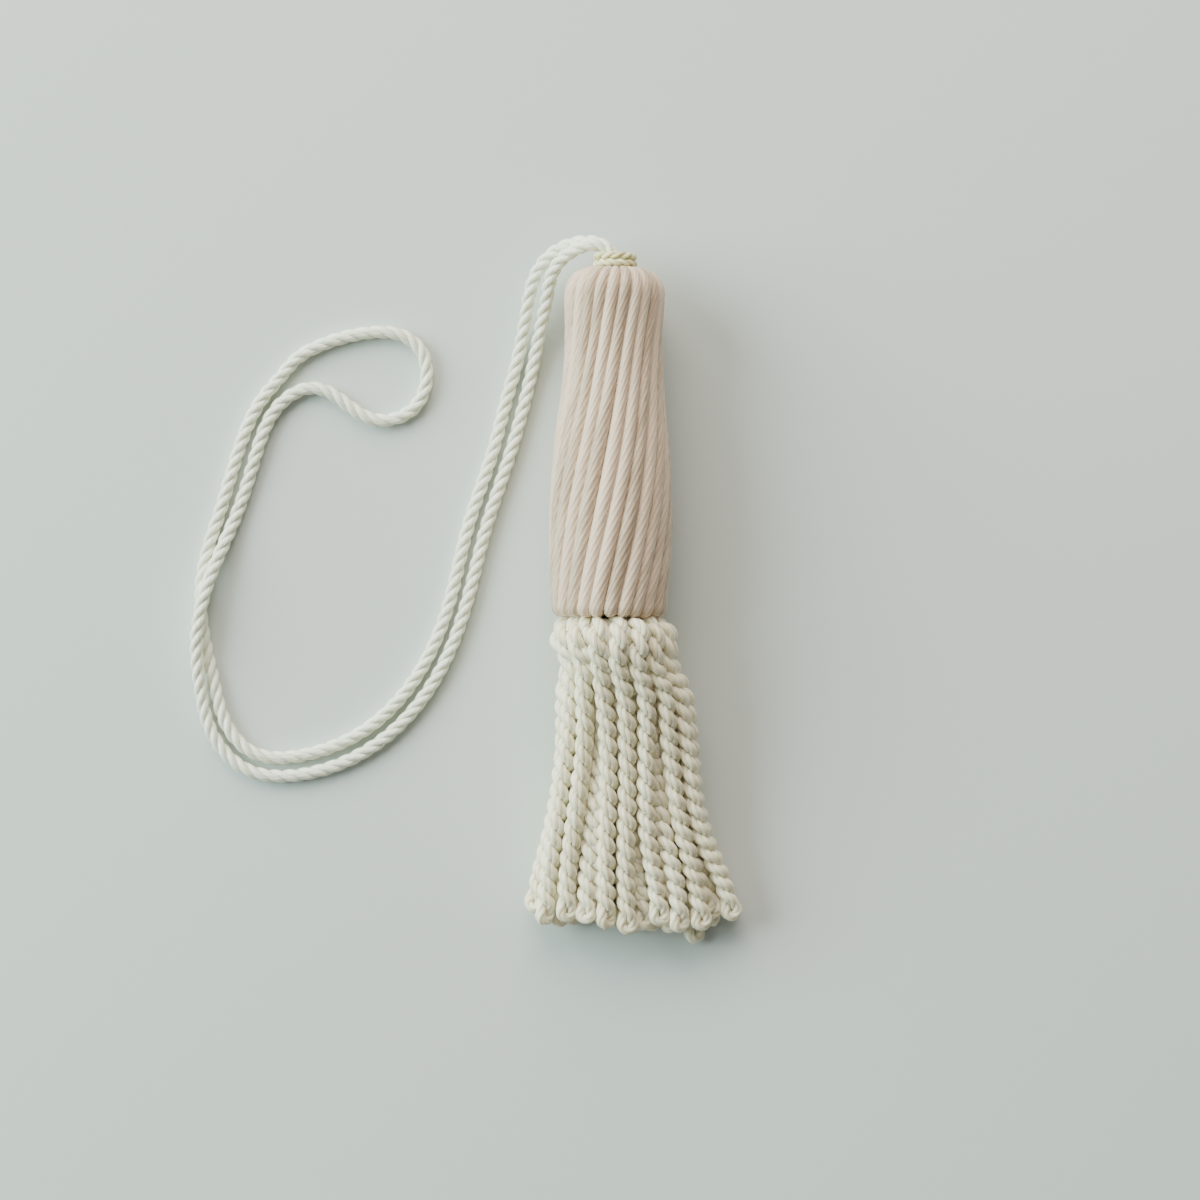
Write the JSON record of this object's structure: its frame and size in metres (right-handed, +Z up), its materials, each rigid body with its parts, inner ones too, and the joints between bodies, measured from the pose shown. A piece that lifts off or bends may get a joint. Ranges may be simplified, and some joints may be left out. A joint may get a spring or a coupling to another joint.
{
  "type": "pull cord switch tassel",
  "caption": "Tassel pull for a pull-cord switch: wound wooden head, bullion-cord skirt, and a doubled hanging cord that leaves through a ruff and ends in a loop.",
  "frame": {"origin": "bottom centre of the tassel's own box, on the surface it lies on; the free cord is left out of that box", "axes": "+Y along the tassel from the skirt's end to the head's mouth; +Z up from the surface it lies on; the hanging cord lies on the -X side"},
  "size_m": [0.1223, 0.1551, 0.0273],
  "materials": {
    "cream_cord": "silky twisted cord, pale cream",
    "gold_cord": "silky plaited cord, pale straw",
    "cover": "silky floss, pale pink beige",
    "skirt": "silky bullion cord, cream",
    "tape": "matt woven tape",
    "wood": "plain turned beech",
    "leather_washer": "matt"
  },
  "bodies": {
    "cord": {"hanging_cord": "cream_cord", "cord_tail": "cream_cord"},
    "washer": {"stop_washer": "leather_washer"},
    "head": {"wooden_mould": "wood", "cover_winding": "cover", "ruff": "gold_cord", "skirt_heading": "skirt", "heading_thread": "cream_cord", "heading_tape": "tape", "strand_inner_17": "skirt", "strand_inner_18": "skirt", "strand_inner_19": "skirt", "strand_inner_20": "skirt", "strand_inner_21": "skirt", "strand_inner_22": "skirt", "strand_inner_23": "skirt", "strand_inner_24": "skirt", "strand_inner_25": "skirt", "strand_inner_26": "skirt", "strand_inner_27": "skirt", "strand_inner_28": "skirt"},
    "strand_01": {"strand_outer_01": "skirt"},
    "strand_02": {"strand_outer_02": "skirt"},
    "strand_03": {"strand_outer_03": "skirt"},
    "strand_04": {"strand_outer_04": "skirt"},
    "strand_05": {"strand_outer_05": "skirt"},
    "strand_06": {"strand_outer_06": "skirt"},
    "strand_07": {"strand_outer_07": "skirt"},
    "strand_08": {"strand_outer_08": "skirt"},
    "strand_09": {"strand_outer_09": "skirt"},
    "strand_10": {"strand_outer_10": "skirt"},
    "strand_11": {"strand_outer_11": "skirt"},
    "strand_12": {"strand_outer_12": "skirt"},
    "strand_13": {"strand_outer_13": "skirt"},
    "strand_14": {"strand_outer_14": "skirt"},
    "strand_15": {"strand_outer_15": "skirt"},
    "strand_16": {"strand_outer_16": "skirt"}
  },
  "joints": [
    {"name": "head_swivel", "type": "hinge", "parent": "cord", "child": "washer", "pos_m": [-0.0064, 0.00965, 0.0136], "axis": [0, 1, 0], "continuous": true},
    {"name": "head_slide", "type": "slide", "parent": "washer", "child": "head", "axis": [0, -1, 0], "range_m": [0, 0.005]},
    {"name": "strand_01_swing", "type": "hinge", "parent": "head", "child": "strand_01", "pos_m": [0.0065, -0.0127, 0.0136], "axis": [0, 0, 1], "range_deg": [0, 40]},
    {"name": "strand_02_swing", "type": "hinge", "parent": "head", "child": "strand_02", "pos_m": [0.00567, -0.0127, 0.01777], "axis": [-0.4226, 0, 0.9063], "range_deg": [0, 40]},
    {"name": "strand_03_swing", "type": "hinge", "parent": "head", "child": "strand_03", "pos_m": [0.00331, -0.0127, 0.02131], "axis": [-0.9205, 0, 0.3907], "range_deg": [0, 40]},
    {"name": "strand_04_swing", "type": "hinge", "parent": "head", "child": "strand_04", "pos_m": [-0.00023, -0.0127, 0.02367], "axis": [-0.9962, 0, 0.0872], "range_deg": [0, 40]},
    {"name": "strand_05_swing", "type": "hinge", "parent": "head", "child": "strand_05", "pos_m": [-0.0044, -0.0127, 0.0245], "axis": [-0.9994, 0, -0.0349], "range_deg": [0, 40]},
    {"name": "strand_06_swing", "type": "hinge", "parent": "head", "child": "strand_06", "pos_m": [-0.00857, -0.0127, 0.02367], "axis": [-0.9744, 0, -0.225], "range_deg": [0, 40]},
    {"name": "strand_07_swing", "type": "hinge", "parent": "head", "child": "strand_07", "pos_m": [-0.01211, -0.0127, 0.02131], "axis": [-0.9205, 0, -0.3907], "range_deg": [0, 40]},
    {"name": "strand_08_swing", "type": "hinge", "parent": "head", "child": "strand_08", "pos_m": [-0.01447, -0.0127, 0.01777], "axis": [-0.5, 0, -0.866], "range_deg": [0, 40]},
    {"name": "strand_09_swing", "type": "hinge", "parent": "head", "child": "strand_09", "pos_m": [-0.0153, -0.0127, 0.0136], "axis": [0.0872, 0, -0.9962], "range_deg": [0, 40]},
    {"name": "strand_10_swing", "type": "hinge", "parent": "head", "child": "strand_10", "pos_m": [-0.01447, -0.0127, 0.00943], "axis": [0.7071, 0, -0.7071], "range_deg": [0, 40]},
    {"name": "strand_11_swing", "type": "hinge", "parent": "head", "child": "strand_11", "pos_m": [-0.01211, -0.0127, 0.00589], "axis": [0.9848, 0, -0.1736], "range_deg": [0, 40]},
    {"name": "strand_12_swing", "type": "hinge", "parent": "head", "child": "strand_12", "pos_m": [-0.00857, -0.0127, 0.00353], "axis": [0.9962, 0, -0.0872], "range_deg": [0, 40]},
    {"name": "strand_13_swing", "type": "hinge", "parent": "head", "child": "strand_13", "pos_m": [-0.0044, -0.0127, 0.0027], "axis": [1, 0, 0], "range_deg": [0, 40]},
    {"name": "strand_14_swing", "type": "hinge", "parent": "head", "child": "strand_14", "pos_m": [-0.00023, -0.0127, 0.00353], "axis": [0.9994, 0, -0.0349], "range_deg": [0, 40]},
    {"name": "strand_15_swing", "type": "hinge", "parent": "head", "child": "strand_15", "pos_m": [0.00331, -0.0127, 0.00589], "axis": [0.9848, 0, 0.1736], "range_deg": [0, 40]},
    {"name": "strand_16_swing", "type": "hinge", "parent": "head", "child": "strand_16", "pos_m": [0.00567, -0.0127, 0.00943], "axis": [0.866, 0, 0.5], "range_deg": [0, 40]}
  ]
}
